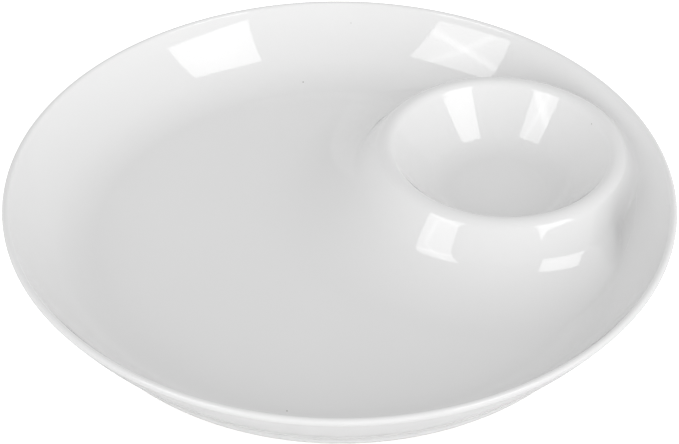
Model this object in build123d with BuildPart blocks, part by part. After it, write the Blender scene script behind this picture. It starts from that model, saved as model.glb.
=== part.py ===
from build123d import *
from math import cos, radians, sin, tan
import os

# Chip and dip server: a round coupe dish with a raised dip well, in white glazed porcelain.
# Three formed pieces are joined before the firing: the dish body, the dip well and the foot ring.
# The origin is the centre of the circle that it stands on, +Z is up and the well is on +X.

# Driving dimensions, in millimetres and degrees

# dish body
rim_radius = 140.0  # outermost edge of the rim
total_height = 34.2  # standing face to the top of the rim
rim_thickness = 3.2  # the rim is a full round of this thickness
rim_lean = 31.0  # how far the wall leans out at the rim, from upright
wall_thickness = 5.7  # at the foot of the flared wall
floor_thickness = 3.0
floor_blend = 25.0  # inside curve from the floor to the wall

# foot ring
foot_radius = 118.0  # outer side at its top, where the flared wall starts
foot_height = 3.6
foot_width = 7.6  # at its top
foot_taper = 8.0  # each side leans in by this angle towards the standing face
foot_edge = 1.2  # rounding beside the standing face

# dip well
ridge_radius = 49.4  # crest of the collar, from the axis of the well
rim_gap = 14.7  # crest of the collar to the outermost edge of the rim
ridge_drop = 2.5  # crest of the collar below the top of the rim
ridge_inner_round = 4.2  # crest to the inside of the cup
ridge_outer_round = 6.8  # crest to the flank of the collar
ridge_clay = 5.0  # clay between the crest and the hollow
flank_angle = 50.5  # flank of the collar, from level
hem_blend = 42.0  # curve from the flank to the floor of the dish
seam_height = 0.5  # edge of the hem, where it is sponged out onto the floor
collar_wall = 3.8
cup_wall = 4.6  # from the chord of its inner face to the hollow
cup_floor = 2.2  # it lies on the floor of the dish
cup_floor_radius = 26.6  # where the wall of the cup would meet its floor without the curve
cup_lean = 33.0  # how far the wall of the cup leans out at its top, from upright
cup_blend = 16.0  # curve from the floor of the cup to its wall

# vent that lets the air out of the hollow in the kiln
vent_diameter = 3.0

# Heights and places that follow

floor_top = foot_height + floor_thickness
ridge_top = total_height - ridge_drop
cup_bottom = floor_top + cup_floor
well_offset = rim_radius - rim_gap - ridge_radius
well_plane = Plane(origin=(well_offset, 0, 0), x_dir=(1, 0, 0), z_dir=(0, -1, 0))
well_axis = Axis((well_offset, 0, 0), (0, 0, 1))

os.makedirs("parts", exist_ok=True)


# Rim: a full round at the top of the wall

rim_round = rim_thickness / 2
rim_centre = Vector(rim_radius - rim_round, total_height - rim_round)
wall_up = Vector(sin(radians(rim_lean)), cos(radians(rim_lean)))
wall_out = Vector(wall_up.Y, -wall_up.X)
outer_rim = rim_centre + wall_out * rim_round
inner_rim = rim_centre - wall_out * rim_round

# The outer face of the wall is one arc from the rim to the foot ring.
# Its slope at the foot mirrors the slope at the rim about the chord between them.

wall_foot = Vector(foot_radius, foot_height)
chord = (outer_rim - wall_foot).normalized()
foot_up = chord * (2 * chord.dot(wall_up)) - wall_up
inner_foot = wall_foot + Vector(-foot_up.Y, foot_up.X) * wall_thickness
floor_corner = inner_foot + foot_up * ((floor_top - inner_foot.Y) / foot_up.Y)
wall_room = (inner_rim.Y - floor_top) / (1 - sin(radians(rim_lean)))
floor_curve = min(floor_blend, 0.95 * wall_room)


# Room inside the dish, up to the top of the rim: it gives the dish its inner face,
# and the dip well is cut to it

with BuildPart() as dish_room:
    with BuildSketch(Plane.XZ) as room_section:
        with BuildLine():
            Line((0, floor_top), floor_corner)
            TangentArc(inner_rim, floor_corner, tangent=-wall_up)
            Line(inner_rim, (inner_rim.X, total_height))
            Line((inner_rim.X, total_height), (0, total_height))
            Line((0, total_height), (0, floor_top))
        make_face()
        fillet(room_section.vertices().sort_by_distance(floor_corner)[0], floor_curve)
    revolve(axis=Axis.Z)


# Dip well: cup and collar in one double-walled piece, open below

flank_down = Vector(cos(radians(flank_angle)), -sin(radians(flank_angle)))
flank_out = Vector(-flank_down.Y, flank_down.X)
shoulder_end = Vector(ridge_radius, ridge_top - ridge_outer_round) + flank_out * ridge_outer_round
hem_height = hem_blend * (1 - cos(radians(flank_angle)))
hem_start = shoulder_end + flank_down * (
    (shoulder_end.Y - floor_top - hem_height) / sin(radians(flank_angle))
)
hem_centre = hem_start + flank_out * hem_blend
seam_top = Vector(
    hem_centre.X - (hem_blend**2 - (hem_blend - seam_height) ** 2) ** 0.5,
    floor_top + seam_height,
)

cup_up = Vector(sin(radians(cup_lean)), cos(radians(cup_lean)))
cup_in = Vector(-cup_up.Y, cup_up.X)
cup_lip = Vector(ridge_radius, ridge_top - ridge_inner_round) + cup_in * ridge_inner_round
cup_corner = Vector(cup_floor_radius, cup_bottom)
cup_slope = (cup_lip - cup_corner).normalized()
cup_back = cup_corner + Vector(cup_slope.Y, -cup_slope.X) * cup_wall

# back of the collar's flank, from the roof of the hollow to the floor of the dish
flank_back = shoulder_end - flank_out * collar_wall
hollow_roof = ridge_top - ridge_clay
hollow_start = cup_back.X + (floor_top - cup_back.Y) * cup_slope.X / cup_slope.Y
hollow_roof_start = cup_back.X + (hollow_roof - cup_back.Y) * cup_slope.X / cup_slope.Y
hollow_roof_radius = flank_back.X + (flank_back.Y - hollow_roof) / tan(radians(flank_angle))
hollow_floor_radius = flank_back.X + (flank_back.Y - floor_top) / tan(radians(flank_angle))

with BuildPart() as dip_well:
    with BuildSketch(well_plane) as collar_section:
        with BuildLine():
            Line((0, cup_bottom), cup_corner)
            TangentArc(cup_lip, cup_corner, tangent=-cup_up)
            TangentArc((ridge_radius, ridge_top), cup_lip, tangent=(-1, 0))
            TangentArc((ridge_radius, ridge_top), shoulder_end, tangent=(1, 0))
            Line(shoulder_end, hem_start)
            TangentArc(hem_start, seam_top, tangent=flank_down)
            Line(seam_top, (seam_top.X, floor_top))
            Line((seam_top.X, floor_top), (0, floor_top))
            Line((0, floor_top), (0, cup_bottom))
        make_face()
        fillet(collar_section.vertices().sort_by_distance(cup_corner)[0], cup_blend)
    revolve(axis=well_axis)
    with BuildSketch(well_plane):
        with BuildLine():
            Polyline(
                (hollow_start, floor_top),
                (hollow_floor_radius, floor_top),
                (hollow_roof_radius, hollow_roof),
                (hollow_roof_start, hollow_roof),
                close=True,
            )
        make_face()
    revolve(axis=well_axis, mode=Mode.SUBTRACT)
    # the collar ends on the wall of the dish where it reaches it
    add(dish_room.part, mode=Mode.INTERSECT)

dip_well.part.label = "dip_well"
export_step(dip_well.part, "parts/dip_well.step")


# Dish body: floor, flared wall and rim, with the vent under the hollow of the well

with BuildPart() as dish_body:
    with BuildSketch(Plane.XZ):
        with BuildLine():
            Line((0, foot_height), wall_foot)
            TangentArc(outer_rim, wall_foot, tangent=-wall_up)
            ThreePointArc(outer_rim, rim_centre + wall_up * rim_round, inner_rim)
            Line(inner_rim, (0, inner_rim.Y))
            Line((0, inner_rim.Y), (0, foot_height))
        make_face()
    revolve(axis=Axis.Z)
    add(dish_room.part, mode=Mode.SUBTRACT)
    with Locations((well_offset - (hollow_roof_radius + hollow_floor_radius) / 2, 0, floor_top)):
        Hole(vent_diameter / 2, depth=2 * floor_thickness)

dish_body.part.label = "dish_body"
export_step(dish_body.part, "parts/dish_body.step")


# Foot ring: the server stands on its flat lower face

foot_lean = foot_height * tan(radians(foot_taper))

with BuildPart() as foot_ring:
    with BuildSketch(Plane.XZ) as foot_section:
        with BuildLine():
            Polyline(
                (foot_radius, foot_height),
                (foot_radius - foot_width, foot_height),
                (foot_radius - foot_width + foot_lean, 0),
                (foot_radius - foot_lean, 0),
                close=True,
            )
        make_face()
        fillet(foot_section.vertices().group_by(Axis.Y)[0], foot_edge)
    revolve(axis=Axis.Z)

foot_ring.part.label = "foot_ring"
export_step(foot_ring.part, "parts/foot_ring.step")
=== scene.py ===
from math import atan2, cos, degrees, radians, sin, sqrt, tan

import bpy
import numpy as np
from mathutils import Matrix, Vector


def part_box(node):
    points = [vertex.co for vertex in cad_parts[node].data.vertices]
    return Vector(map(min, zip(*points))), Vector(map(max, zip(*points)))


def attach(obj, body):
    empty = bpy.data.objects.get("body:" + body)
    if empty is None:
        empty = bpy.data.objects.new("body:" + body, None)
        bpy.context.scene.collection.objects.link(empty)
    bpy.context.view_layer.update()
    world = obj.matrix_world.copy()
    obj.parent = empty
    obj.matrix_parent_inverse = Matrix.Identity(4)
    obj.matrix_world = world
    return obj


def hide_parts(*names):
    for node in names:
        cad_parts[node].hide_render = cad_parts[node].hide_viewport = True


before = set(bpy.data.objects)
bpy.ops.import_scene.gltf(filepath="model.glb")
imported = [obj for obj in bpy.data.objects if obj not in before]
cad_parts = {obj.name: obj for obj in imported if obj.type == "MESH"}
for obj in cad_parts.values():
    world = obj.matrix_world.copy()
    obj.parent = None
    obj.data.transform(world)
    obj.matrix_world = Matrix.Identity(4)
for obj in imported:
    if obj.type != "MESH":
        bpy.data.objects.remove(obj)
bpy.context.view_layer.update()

dishLow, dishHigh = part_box("dish_body")
wellLow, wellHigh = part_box("dip_well")
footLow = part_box("foot_ring")[0]

rimRadius = min(dishHigh.x, dishHigh.y)
rimTop = dishHigh.z
baseLevel = dishLow.z  # underside of the dish inside the foot ring
floorLevel = wellLow.z  # floor of the dish
crestLevel = wellHigh.z  # crest of the collar round the dip well
print("frame loaded")


# section lines are lists of (radius, height) points


def arcLine(centreR, centreZ, radius, start, end, steps):
    angles = [radians(start + (end - start) * i / steps) for i in range(steps + 1)]
    return [(centreR + radius * cos(a), centreZ + radius * sin(a)) for a in angles]


def straightLine(start, end, steps):
    return [
        (start[0] + (end[0] - start[0]) * i / steps, start[1] + (end[1] - start[1]) * i / steps)
        for i in range(steps + 1)
    ]


def bendLine(start, corner, end, steps):  # a soft corner between two straight runs
    line = []
    for i in range(steps + 1):
        t = i / steps
        a, b, c = (1 - t) ** 2, 2 * t * (1 - t), t * t
        line.append(tuple(a * start[k] + b * corner[k] + c * end[k] for k in (0, 1)))
    return line


def flaredWall(topR, topZ, lean, cornerR, floorZ, curve, curveSteps, wallSteps):
    # from the floor up to the top: a small curve, then one long arc that ends leaning out by lean
    side = Vector((-cos(radians(lean)), sin(radians(lean))))
    chord = Vector((cornerR - topR, floorZ - topZ))
    radius = chord.length_squared / (2 * chord.dot(side))
    centre = Vector((topR, topZ)) + side * radius
    drop = floorZ + curve - centre.y
    curveR = centre.x + sqrt((radius - curve) ** 2 - drop**2)
    join = degrees(atan2(drop, curveR - centre.x))
    line = arcLine(curveR, floorZ + curve, curve, -90, join, curveSteps)
    return line + arcLine(centre.x, centre.y, radius, join, -lean, wallSteps)[1:]


def addPiece(name, points, faces, material):
    mesh = bpy.data.meshes.new(name)
    mesh.from_pydata(points, [], faces)
    mesh.polygons.foreach_set("use_smooth", [True] * len(mesh.polygons))
    mesh.materials.append(material)
    mesh.update()
    piece = bpy.data.objects.new(name, mesh)
    bpy.context.scene.collection.objects.link(piece)
    return piece


def ringFaces(ringCount, turns):
    faces = []
    for j in range(ringCount - 1):
        low, high = j * turns, (j + 1) * turns
        for i in range(turns):
            k = (i + 1) % turns
            faces.append((low + i, low + k, high + k, high + i))
    return faces


# node helpers


def newMaterial(name):
    material = bpy.data.materials.new(name)
    material.use_nodes = True
    material.node_tree.nodes.clear()
    return material, material.node_tree.nodes, material.node_tree.links


def addNode(nodes, kind, **settings):
    node = nodes.new(kind)
    for key, value in settings.items():
        setattr(node, key, value)
    return node


def setInputs(node, **values):
    for key, value in values.items():
        node.inputs[key.replace("_", " ")].default_value = value


def darker(colour, share):
    return [c * share for c in colour[:3]] + [1]


# white glaze: clear gloss over white clay, with a slow ripple and a few iron specks

glaze = {
    "colour": (0.80, 0.80, 0.80, 1),
    "speckColour": (0.22, 0.20, 0.18, 1),
    "roughness": 0.035,
    "refraction": 1.5,
    "toneScale": 14.0,
    "toneDark": 0.985,  # share of the colour where the tone is darkest
    "rippleScale": 26.0,
    "rippleDepth": 0.00005,
    "peelScale": 420.0,
    "peelDepth": 0.0000010,
    "speckCore": 0.4,  # share of a speck's radius that is full colour
    # iron specks: place and radius
    "specks": [
        ((0.0294, 0.1081, 0.0080), 0.00040),
        ((0.1212, 0.0017, 0.0290), 0.00032),
        ((-0.0616, -0.0890, 0.0070), 0.00042),
        ((0.0584, 0.1188, 0.0265), 0.00025),
        ((-0.0210, 0.0330, 0.0066), 0.00018),
        ((0.1022, -0.0730, 0.0170), 0.00020),
    ],
}


def glazeColour(nodes, links, place):
    tone = addNode(nodes, "ShaderNodeTexNoise")
    setInputs(tone, Scale=glaze["toneScale"], Detail=3.0, Roughness=0.55)
    toneRamp = addNode(nodes, "ShaderNodeValToRGB")
    toneRamp.color_ramp.elements[0].position = 0.3
    toneRamp.color_ramp.elements[0].color = darker(glaze["colour"], glaze["toneDark"])
    toneRamp.color_ramp.elements[1].position = 0.7
    toneRamp.color_ramp.elements[1].color = glaze["colour"]
    links.new(place, tone.inputs["Vector"])
    links.new(tone.outputs["Fac"], toneRamp.inputs["Fac"])
    colour = toneRamp.outputs["Color"]
    for middle, radius in glaze["specks"]:
        away = addNode(nodes, "ShaderNodeVectorMath", operation="DISTANCE")
        away.inputs[1].default_value = middle
        dot = addNode(nodes, "ShaderNodeMapRange", interpolation_type="SMOOTHSTEP")
        core = glaze["speckCore"] * radius
        setInputs(dot, From_Min=core, From_Max=radius, To_Min=1.0, To_Max=0.0)
        mix = addNode(nodes, "ShaderNodeMix", data_type="RGBA")
        mix.inputs["B"].default_value = glaze["speckColour"]
        links.new(place, away.inputs[0])
        links.new(away.outputs["Value"], dot.inputs["Value"])
        links.new(dot.outputs["Result"], mix.inputs["Factor"])
        links.new(colour, mix.inputs["A"])
        colour = mix.outputs["Result"]
    return colour


def glazeBump(nodes, links, place):
    ripple = addNode(nodes, "ShaderNodeTexNoise")
    setInputs(ripple, Scale=glaze["rippleScale"], Detail=1.0, Roughness=0.4)
    rippleBump = addNode(nodes, "ShaderNodeBump")
    setInputs(rippleBump, Strength=1.0, Distance=glaze["rippleDepth"])
    peel = addNode(nodes, "ShaderNodeTexNoise")
    setInputs(peel, Scale=glaze["peelScale"], Detail=2.0, Roughness=0.5)
    peelBump = addNode(nodes, "ShaderNodeBump")
    setInputs(peelBump, Strength=1.0, Distance=glaze["peelDepth"])
    links.new(place, ripple.inputs["Vector"])
    links.new(place, peel.inputs["Vector"])
    links.new(ripple.outputs["Fac"], rippleBump.inputs["Height"])
    links.new(peel.outputs["Fac"], peelBump.inputs["Height"])
    links.new(rippleBump.outputs["Normal"], peelBump.inputs["Normal"])
    return peelBump.outputs["Normal"]


def makeGlaze():
    material, nodes, links = newMaterial("whiteGlaze")
    place = addNode(nodes, "ShaderNodeTexCoord").outputs["Object"]
    shader = addNode(nodes, "ShaderNodeBsdfPrincipled")
    setInputs(shader, Roughness=glaze["roughness"], IOR=glaze["refraction"])
    output = addNode(nodes, "ShaderNodeOutputMaterial")
    links.new(glazeColour(nodes, links, place), shader.inputs["Base Color"])
    links.new(glazeBump(nodes, links, place), shader.inputs["Normal"])
    links.new(shader.outputs["BSDF"], output.inputs["Surface"])
    return material


whiteGlaze = makeGlaze()
print("glaze made")


# server: one glazed skin over the dish, the dip well and the rim

server = {
    "turns": 480,
    "rimThickness": 0.0032,
    "rimLean": 31.0,  # degrees from upright
    "floorRadius": 0.11296,  # where wall and floor would meet without their curve
    "floorCurve": 0.025,
    "footRadius": 0.118,
    "footWidth": 0.0076,
    "footTaper": 8.0,
    "footSeal": 0.0011,  # glaze that runs into the corner above the foot
    "sealOutside": 0.002,  # how far the glaze goes in under the outer corner
    "sealInside": 0.0015,
    "crestRadius": 0.0494,
    "rimGap": 0.0147,  # from the crest of the collar to the outermost edge of the rim
    "crestInnerRound": 0.0042,
    "collarArcs": [(0.00625, 50.8), (0.366, 52.75), (0.0129, 42.3)],  # radius and slope at the end
    "narrowTurn": 52.0,  # the hem is narrowest this far round the well from the near wall
    "narrowReach": 27.0,
    "narrowLeast": 0.22,
    "narrowStart": 0.0039,  # from the crest to where the narrowing starts
    "narrowEase": 0.001,
    "cupFloor": 0.0022,  # above the floor of the dish
    "cupFloorRadius": 0.0266,
    "cupLean": 37.0,
    "cupCurve": 0.016,
    "meeting": 6.0,  # how tightly collar and wall run together
    "meetingEase": 0.003,  # from the crest to where the wall counts in full
    "collarSpan": 0.046,  # close rings from the crest out
    "wallSpan": 0.038,  # close rings from the rim in
    "ventRadius": 0.0015,
    "ventPlace": 0.01581,
    "ventDepth": 0.007,
    "ventEdge": 0.0004,
    "baseSpread": 1.6,  # the rings of the base lie closer near the vent
}
rings = {  # how many rings each stretch of the skin has
    "cupFloor": 10,
    "cupCurve": 14,
    "cupWall": 30,
    "crest": 12,
    "collarArc": 40,
    "collarHem": 80,
    "dishCurve": 60,
    "dishWall": 200,
    "rim": 20,
    "outerWall": 40,
    "corner": 8,
    "nearCollar": 56,
    "middle": 18,
    "nearRim": 60,
    "base": 14,
    "ventEdge": 5,
    "ventSide": 4,
}
wellCentre = rimRadius - server["rimGap"] - server["crestRadius"]


def cupLine(s):
    lean = radians(s["cupLean"])
    inner = s["crestInnerRound"]
    lipR = s["crestRadius"] - inner * cos(lean)
    lipZ = crestLevel - inner + inner * sin(lean)
    cupZ = floorLevel + s["cupFloor"]
    shape = (s["cupLean"], s["cupFloorRadius"], cupZ, s["cupCurve"])
    line = flaredWall(lipR, lipZ, *shape, rings["cupCurve"], rings["cupWall"])
    floor = straightLine((0, cupZ), line[0], rings["cupFloor"])
    start = 180 - s["cupLean"]
    crest = arcLine(s["crestRadius"], crestLevel - inner, inner, start, 90, rings["crest"])
    return floor[1:-1] + line + crest[1:]


def collarLine(s):
    # four arcs from the crest down, with slopes below level: the last one ends on the floor
    radius, height = s["crestRadius"], crestLevel
    steps, hemSteps = rings["collarArc"], rings["collarHem"]
    slope, line = 0.0, [(radius, height)]
    for bend, nextSlope in s["collarArcs"]:
        a, b = radians(slope), radians(nextSlope)
        side = bend if nextSlope > slope else -bend
        for i in range(1, steps + 1):
            c = a + (b - a) * i / steps
            line.append((radius + side * (sin(c) - sin(a)), height - side * (cos(a) - cos(c))))
        radius, height = line[-1]
        slope = nextSlope
    a = radians(slope)
    bend = (height - floorLevel) / (1 - cos(a))
    for i in range(1, hemSteps + 1):
        b = a * (1 - i / hemSteps)
        line.append((radius + bend * (sin(a) - sin(b)), height - bend * (cos(b) - cos(a))))
    return line


def spreadOut(s, ways, step):
    # where collar and wall close in on each other, the hem is narrower and its flank steeper
    turn = np.degrees(np.arccos(np.clip(ways[:, 0], -1, 1)))
    off = np.clip((turn - s["narrowTurn"]) / s["narrowReach"], -1, 1)
    share = 1 - (1 - s["narrowLeast"]) * (1 - off**2) ** 2
    past = np.maximum(step - s["narrowStart"], 0)
    return step + (1 / share - 1) * past**2 / (past + s["narrowEase"])


def rimFrame(s):
    half = s["rimThickness"] / 2
    lean = radians(s["rimLean"])
    centre = Vector((rimRadius - half, rimTop - half))
    out = Vector((cos(lean), -sin(lean)))
    return centre, out, half


def innerWallLine(s):
    centre, out, half = rimFrame(s)
    top = centre - out * half
    shape = (s["rimLean"], s["floorRadius"], floorLevel, s["floorCurve"])
    return flaredWall(top.x, top.y, *shape, rings["dishCurve"], rings["dishWall"])


def outerLine(s):
    # over the rim, down the outside, into the corner above the foot and under the dish
    centre, out, half = rimFrame(s)
    lean = s["rimLean"]
    rim = arcLine(centre.x, centre.y, half, 180 - lean, -lean, rings["rim"])
    outerRim = centre + out * half
    foot = Vector((s["footRadius"], baseLevel))
    chord = foot - outerRim
    radius = chord.length_squared / (2 * chord.dot(-out))
    middle = outerRim - out * radius
    last = degrees(atan2(foot.y - middle.y, foot.x - middle.x))
    wall = arcLine(middle.x, middle.y, radius, -lean, last, rings["outerWall"])
    seal, steps = s["footSeal"], rings["corner"]
    while (Vector(wall[-1]) - foot).length < seal:
        wall.pop()
    taper = tan(radians(s["footTaper"]))
    outside = (foot.x - seal * taper, baseLevel - seal)
    innerTop = (foot.x - s["footWidth"], baseLevel)
    inside = (innerTop[0] + seal * taper, baseLevel - seal)
    corner = bendLine(wall[-1], tuple(foot), outside, steps)
    under = [(foot.x - s["sealOutside"], outside[1]), (inside[0] + s["sealInside"], inside[1])]
    innerCorner = bendLine(inside, innerTop, (innerTop[0] - seal, baseLevel), steps)
    return rim[1:] + wall[1:] + corner[1:] + under + innerCorner


def buildServer(s):
    turns = s["turns"]
    angles = np.arange(turns) * 2 * np.pi / turns
    ways = np.stack([np.cos(angles), np.sin(angles)], axis=1)
    drawn = []

    def addRing(flat, height):
        drawn.append(np.column_stack([flat, np.broadcast_to(height, turns)]))

    well = np.array([wellCentre, 0.0])
    for radius, height in cupLine(s):
        addRing(well + ways * radius, height)

    # from the crest out to the rim the surface is the collar and the dish run together
    wallR, wallZ = np.array(innerWallLine(s)).T
    collarR, collarZ = np.array(collarLine(s)).T
    innerRim = wallR[-1]
    reach = np.sqrt(innerRim**2 - (wellCentre * ways[:, 1]) ** 2) - wellCentre * ways[:, 0]
    room = reach - s["crestRadius"]
    near = np.minimum(s["collarSpan"], 0.5 * room)
    far = np.minimum(s["wallSpan"], 0.5 * room)
    nearSteps, middleSteps, farSteps = rings["nearCollar"], rings["middle"], rings["nearRim"]
    steps = [near * i / nearSteps for i in range(1, nearSteps + 1)]
    steps += [near + (room - near - far) * i / middleSteps for i in range(1, middleSteps)]
    steps += [room - far * (1 - i / farSteps) for i in range(farSteps + 1)]
    power = s["meeting"]
    for step in steps:
        distance = s["crestRadius"] + step
        flat = well + ways * distance[:, None]
        dishRise = np.interp(np.hypot(flat[:, 0], flat[:, 1]), wallR, wallZ) - floorLevel
        outward = s["crestRadius"] + spreadOut(s, ways, step)
        collarRise = np.interp(outward, collarR, collarZ) - floorLevel
        joined = (dishRise**power + collarRise**power) ** (1 / power)
        ease = np.clip(step / s["meetingEase"], 0, 1)
        ease = ease * ease * (3 - 2 * ease)
        addRing(flat, floorLevel + collarRise + (joined - collarRise) * ease)

    # from the rim on, the rings are round the dish and keep the same spokes
    spokes = drawn[-1][:, :2] / np.hypot(drawn[-1][:, 0], drawn[-1][:, 1])[:, None]
    for radius, height in outerLine(s):
        addRing(spokes * radius, height)
    print("rim, wall and base drawn")

    # the flat base closes in on the vent
    vent = np.array([s["ventPlace"], 0.0])
    edge, ventRadius = s["ventEdge"], s["ventRadius"]
    start = drawn[-1][:, :2]
    goal = vent + spokes * (ventRadius + edge)
    baseSteps, edgeSteps, sideSteps = rings["base"], rings["ventEdge"], rings["ventSide"]
    for i in range(1, baseSteps + 1):
        share = 1 - (1 - i / baseSteps) ** s["baseSpread"]
        addRing(start + (goal - start) * share, baseLevel)
    for i in range(1, edgeSteps + 1):
        turn = radians(90 * i / edgeSteps)
        flat = vent + spokes * (ventRadius + edge * (1 - sin(turn)))
        addRing(flat, baseLevel + edge * (1 - cos(turn)))
    for i in range(1, sideSteps + 1):
        addRing(vent + spokes * ventRadius, baseLevel + edge + s["ventDepth"] * i / sideSteps)

    points = np.concatenate(drawn)
    faces = ringFaces(len(drawn), turns)
    first, last = len(points), len(points) + 1
    ends = [[wellCentre, 0, drawn[0][0, 2]], [s["ventPlace"], 0, drawn[-1][0, 2]]]
    points = np.concatenate([points, np.array(ends)])
    lastRing = (len(drawn) - 1) * turns
    for i in range(turns):
        k = (i + 1) % turns
        faces.append((first, k, i))
        faces.append((last, lastRing + i, lastRing + k))
    return addPiece("glazedServer", points.tolist(), [f[::-1] for f in faces], whiteGlaze)


glazedServer = buildServer(server)
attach(glazedServer, "root")
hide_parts("dish_body", "dip_well")
print("server built")


# foot ring: glazed sides, wiped bare on the face that it stands on

foot = {
    "turns": 360,
    "edgeRound": 0.0012,
    "glazeLine": 0.0007,  # height at which the glaze was wiped off
    "glazeStep": 0.00010,
    "lineWander": 0.0005,  # how far the glaze line wanders up and down
    "wanderScale": 60.0,
    "clayColour": (0.74, 0.72, 0.68, 1),
    "clayDark": 0.86,
    "clayRoughness": 0.75,
    "grainScale": 900.0,
    "grainDepth": 0.00006,
    "sideSteps": 8,
}


def makeFootMaterial():
    material, nodes, links = newMaterial("footClay")
    place = addNode(nodes, "ShaderNodeTexCoord").outputs["Object"]
    height = addNode(nodes, "ShaderNodeSeparateXYZ")
    wander = addNode(nodes, "ShaderNodeTexNoise")
    setInputs(wander, Scale=foot["wanderScale"], Detail=3.0)
    shift = addNode(nodes, "ShaderNodeMath", operation="MULTIPLY_ADD")
    shift.inputs[1].default_value = foot["lineWander"]
    shift.inputs[2].default_value = foot["glazeLine"] - foot["lineWander"] / 2
    above = addNode(nodes, "ShaderNodeMath", operation="GREATER_THAN")
    grain = addNode(nodes, "ShaderNodeTexNoise")
    setInputs(grain, Scale=foot["grainScale"], Detail=4.0, Roughness=0.6)
    clay = addNode(nodes, "ShaderNodeValToRGB")
    clay.color_ramp.elements[0].position = 0.35
    clay.color_ramp.elements[0].color = darker(foot["clayColour"], foot["clayDark"])
    clay.color_ramp.elements[1].position = 0.62
    clay.color_ramp.elements[1].color = foot["clayColour"]
    colour = addNode(nodes, "ShaderNodeMix", data_type="RGBA")
    rough = addNode(nodes, "ShaderNodeMix", data_type="FLOAT")
    rough.inputs["A"].default_value = foot["clayRoughness"]
    rough.inputs["B"].default_value = glaze["roughness"]
    tooth = addNode(nodes, "ShaderNodeBump")
    setInputs(tooth, Strength=0.6, Distance=foot["grainDepth"])
    shader = addNode(nodes, "ShaderNodeBsdfPrincipled")
    setInputs(shader, IOR=glaze["refraction"])
    output = addNode(nodes, "ShaderNodeOutputMaterial")
    links.new(place, height.inputs["Vector"])
    links.new(place, wander.inputs["Vector"])
    links.new(place, grain.inputs["Vector"])
    links.new(wander.outputs["Fac"], shift.inputs[0])
    links.new(height.outputs["Z"], above.inputs[0])
    links.new(shift.outputs["Value"], above.inputs[1])
    links.new(grain.outputs["Fac"], clay.inputs["Fac"])
    links.new(above.outputs["Value"], colour.inputs["Factor"])
    links.new(above.outputs["Value"], rough.inputs["Factor"])
    links.new(clay.outputs["Color"], colour.inputs["A"])
    links.new(glazeColour(nodes, links, place), colour.inputs["B"])
    links.new(grain.outputs["Fac"], tooth.inputs["Height"])
    links.new(colour.outputs["Result"], shader.inputs["Base Color"])
    links.new(rough.outputs["Result"], shader.inputs["Roughness"])
    links.new(tooth.outputs["Normal"], shader.inputs["Normal"])
    links.new(shader.outputs["BSDF"], output.inputs["Surface"])
    return material


def buildFoot(f, s):
    taper = tan(radians(s["footTaper"]))
    outR, inR = s["footRadius"], s["footRadius"] - s["footWidth"]
    low, line, step, rounding = footLow.z, f["glazeLine"], f["glazeStep"], f["edgeRound"]

    def side(radius, sign):
        top = (radius, baseLevel)
        glazeEnd = (radius - sign * (baseLevel - line) * taper, line)
        bare = (glazeEnd[0] - sign * step, line - step)
        corner = (radius - sign * (baseLevel * taper + step), low)
        edge = bendLine(bare, corner, (corner[0] - sign * rounding, low), f["sideSteps"])
        return straightLine(top, glazeEnd, f["sideSteps"]) + edge

    section = side(outR, 1) + side(inR, -1)[::-1]
    turns = f["turns"]
    points = []
    for radius, height in section:
        for i in range(turns):
            a = radians(360 * i / turns)
            points.append((radius * cos(a), radius * sin(a), height))
    faces = ringFaces(len(section), turns)
    top = (len(section) - 1) * turns
    for i in range(turns):
        k = (i + 1) % turns
        faces.append((top + i, top + k, k, i))
    return addPiece("footRing", points, [face[::-1] for face in faces], makeFootMaterial())


footRing = buildFoot(foot, server)
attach(footRing, "root")
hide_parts("foot_ring")
print("foot ring built")


# studio: white table, soft surroundings and two softboxes

studio = {
    "tableSize": 6.0,
    "tableColour": (0.88, 0.88, 0.88, 1),
    "tableGlow": 0.55,  # makes the bare table white, and leaves the server's shadow on it
    "skyBase": 1.38,
    # slope of the light towards each side, and rise that it has on both sides
    "skyFront": (0.64, 0.16),
    "skyRight": (0.23, 0.27),
    "skyTop": (-0.53, 0.0),
    "background": 1.0,
}
softboxes = {
    # corners are (azimuth, elevation) from the server, and the camera is at azimuth 0
    "leftBox": {
        "corners": [(-64, 27), (-37, 32.5), (-34, 54.5), (-71, 48)],
        "power": 3.9,
        # kind, share, middle and slant in the cloth, width
        "glow": [
            ("spot", 0.15, (0.5, 0.55), 0, 0.6),
            ("crease", 0.45, (0.5, 0.5), 24, 0.12),
            ("crease", 0.35, (0.5, 0.5), -62, 0.09),
        ],
    },
    "rightBox": {
        "corners": [(35, 33.3), (67, 30.3), (70, 48.6), (40, 56)],
        "power": 4.5,
        "glow": [("spot", 0.15, (0.5, 0.5), 0, 0.7)],
    },
    "distance": 1.6,
    "grid": 12,
}
shot = {
    "azimuth": -24.07,
    "elevation": 38.3,
    "distance": 0.9,
    "tilt": -0.966,
    "roll": -0.30,
    "lens": 114.36,
    "sensor": 36.0,
}


def around(azimuth, elevation):
    # a direction from the server: azimuth 0 is to the front, and the right is positive
    a, e = radians(azimuth), radians(elevation)
    return Vector((sin(a) * cos(e), -cos(a) * cos(e), sin(e)))


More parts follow.
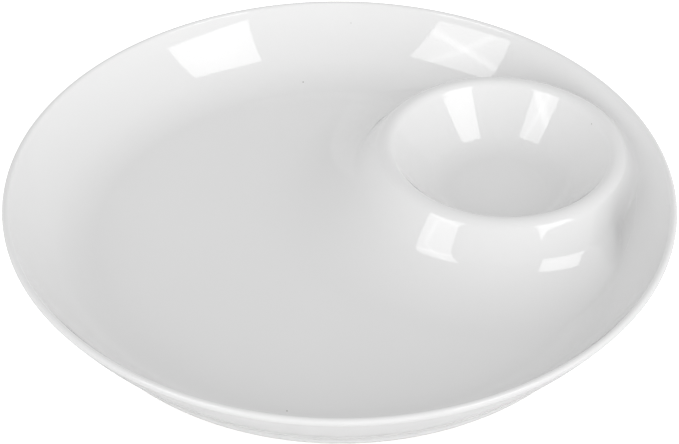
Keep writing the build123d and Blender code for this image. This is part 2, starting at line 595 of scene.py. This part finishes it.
def makeTable():
    half = studio["tableSize"]
    points = [(-half, -half, 0), (half, -half, 0), (half, half, 0), (-half, half, 0)]
    material, nodes, links = newMaterial("tablePaper")
    paper = addNode(nodes, "ShaderNodeBsdfDiffuse")
    setInputs(paper, Color=studio["tableColour"])
    glow = addNode(nodes, "ShaderNodeEmission")
    rays = addNode(nodes, "ShaderNodeLightPath")
    strength = addNode(nodes, "ShaderNodeMath", operation="MULTIPLY")
    strength.inputs[1].default_value = studio["tableGlow"]
    total = addNode(nodes, "ShaderNodeAddShader")
    output = addNode(nodes, "ShaderNodeOutputMaterial")
    links.new(rays.outputs["Is Camera Ray"], strength.inputs[0])
    links.new(strength.outputs["Value"], glow.inputs["Strength"])
    links.new(paper.outputs["BSDF"], total.inputs[0])
    links.new(glow.outputs["Emission"], total.inputs[1])
    links.new(total.outputs["Shader"], output.inputs["Surface"])
    table = addPiece("table", points, [(0, 1, 2, 3)], material)


def boxCloth(name, box):
    # the cloth glows most before the lamp and along two creases
    material, nodes, links = newMaterial(name + "Cloth")
    place = addNode(nodes, "ShaderNodeUVMap")
    level = addNode(nodes, "ShaderNodeValue")
    level.outputs["Value"].default_value = 1.0
    for kind, share, middle, slant, width in box["glow"]:
        # distance from a crease, or from the middle of a spot
        shift = addNode(nodes, "ShaderNodeVectorMath", operation="SUBTRACT")
        shift.inputs[1].default_value = (middle[0], middle[1], 0)
        turned = addNode(nodes, "ShaderNodeVectorRotate", rotation_type="Z_AXIS")
        turned.inputs["Angle"].default_value = radians(slant)
        stretch = addNode(nodes, "ShaderNodeVectorMath", operation="MULTIPLY")
        stretch.inputs[1].default_value = (1 / width if kind == "spot" else 0, 1 / width, 0)
        off = addNode(nodes, "ShaderNodeVectorMath", operation="LENGTH")
        glow = addNode(nodes, "ShaderNodeMapRange", interpolation_type="SMOOTHSTEP")
        setInputs(glow, From_Min=0.0, From_Max=1.0, To_Min=share, To_Max=0.0)
        added = addNode(nodes, "ShaderNodeMath", operation="ADD")
        links.new(place.outputs["UV"], shift.inputs[0])
        links.new(shift.outputs["Vector"], turned.inputs["Vector"])
        links.new(turned.outputs["Vector"], stretch.inputs[0])
        links.new(stretch.outputs["Vector"], off.inputs[0])
        links.new(off.outputs["Value"], glow.inputs["Value"])
        links.new(level.outputs["Value"], added.inputs[0])
        links.new(glow.outputs["Result"], added.inputs[1])
        level = added
    power = addNode(nodes, "ShaderNodeMath", operation="MULTIPLY")
    power.inputs[1].default_value = box["power"]
    links.new(level.outputs["Value"], power.inputs[0])
    light = addNode(nodes, "ShaderNodeEmission")
    links.new(power.outputs["Value"], light.inputs["Strength"])
    output = addNode(nodes, "ShaderNodeOutputMaterial")
    links.new(light.outputs["Emission"], output.inputs["Surface"])
    return material


def makeSoftbox(name, box):
    steps = softboxes["grid"]
    low, right, high, left = [around(a + shot["azimuth"], e) for a, e in box["corners"]]
    points, faces = [], []
    for j in range(steps + 1):
        for i in range(steps + 1):
            u, v = i / steps, j / steps
            place = (low * (1 - u) + right * u) * (1 - v) + (left * (1 - u) + high * u) * v
            points.append(place.normalized() * softboxes["distance"])
    for j in range(steps):
        for i in range(steps):
            k = j * (steps + 1) + i
            faces.append((k, k + steps + 1, k + steps + 2, k + 1))
    panel = addPiece(name, points, faces, boxCloth(name, box))
    layer = panel.data.uv_layers.new(name="UVMap")
    for loop in panel.data.loops:
        k = loop.vertex_index
        layer.data[loop.index].uv = (k % (steps + 1) / steps, k // (steps + 1) / steps)
    panel.visible_camera = False
    panel.visible_diffuse = False  # the sky alone gives the soft light


def makeSky():
    world = bpy.data.worlds.new("studioSky")
    bpy.context.scene.world = world
    world.use_nodes = True
    nodes, links = world.node_tree.nodes, world.node_tree.links
    nodes.clear()
    place = addNode(nodes, "ShaderNodeTexCoord")
    sides = {
        "skyFront": around(shot["azimuth"], 0),
        "skyRight": around(shot["azimuth"] + 90, 0),
        "skyTop": Vector((0, 0, 1)),
    }
    level = addNode(nodes, "ShaderNodeValue")
    level.outputs["Value"].default_value = studio["skyBase"]
    for name, side in sides.items():
        slope, rise = studio[name]
        share = addNode(nodes, "ShaderNodeVectorMath", operation="DOT_PRODUCT")
        share.inputs[1].default_value = side
        factor = addNode(nodes, "ShaderNodeMath", operation="MULTIPLY_ADD")
        factor.inputs[1].default_value = rise
        factor.inputs[2].default_value = slope
        added = addNode(nodes, "ShaderNodeMath", operation="MULTIPLY_ADD")
        links.new(place.outputs["Generated"], share.inputs[0])
        links.new(share.outputs["Value"], factor.inputs[0])
        links.new(factor.outputs["Value"], added.inputs[0])
        links.new(share.outputs["Value"], added.inputs[1])
        links.new(level.outputs[0], added.inputs[2])
        level = added
    floor = addNode(nodes, "ShaderNodeMath", operation="MAXIMUM")
    floor.inputs[1].default_value = 0.0
    rays = addNode(nodes, "ShaderNodeLightPath")
    seen = addNode(nodes, "ShaderNodeMix", data_type="FLOAT")
    seen.inputs["B"].default_value = studio["background"]
    back = addNode(nodes, "ShaderNodeBackground")
    output = addNode(nodes, "ShaderNodeOutputWorld")
    links.new(level.outputs["Value"], floor.inputs[0])
    links.new(rays.outputs["Is Camera Ray"], seen.inputs["Factor"])
    links.new(floor.outputs["Value"], seen.inputs["A"])
    links.new(seen.outputs["Result"], back.inputs["Strength"])
    links.new(back.outputs["Background"], output.inputs["Surface"])


def makeCamera():
    camera = bpy.data.objects.new("camera", bpy.data.cameras.new("camera"))
    bpy.context.scene.collection.objects.link(camera)
    camera.data.lens = shot["lens"]
    camera.data.sensor_width = shot["sensor"]
    camera.data.sensor_fit = "HORIZONTAL"
    back = around(shot["azimuth"], shot["elevation"])
    right = Vector((0, 0, 1)).cross(back).normalized()
    pitch = Matrix.Rotation(radians(shot["tilt"]), 3, right)
    back = pitch @ back
    right = Matrix.Rotation(radians(shot["roll"]), 3, -back) @ right
    up = back.cross(right)
    turn = Matrix((right, up, back)).transposed()
    place = Vector((0, 0, rimTop)) + around(shot["azimuth"], shot["elevation"]) * shot["distance"]
    camera.matrix_world = Matrix.Translation(place) @ turn.to_4x4()
    bpy.context.scene.camera = camera


makeTable()
for boxName in ("leftBox", "rightBox"):
    makeSoftbox(boxName, softboxes[boxName])
makeSky()
makeCamera()
bpy.context.scene.view_settings.view_transform = "Standard"
print("studio set")
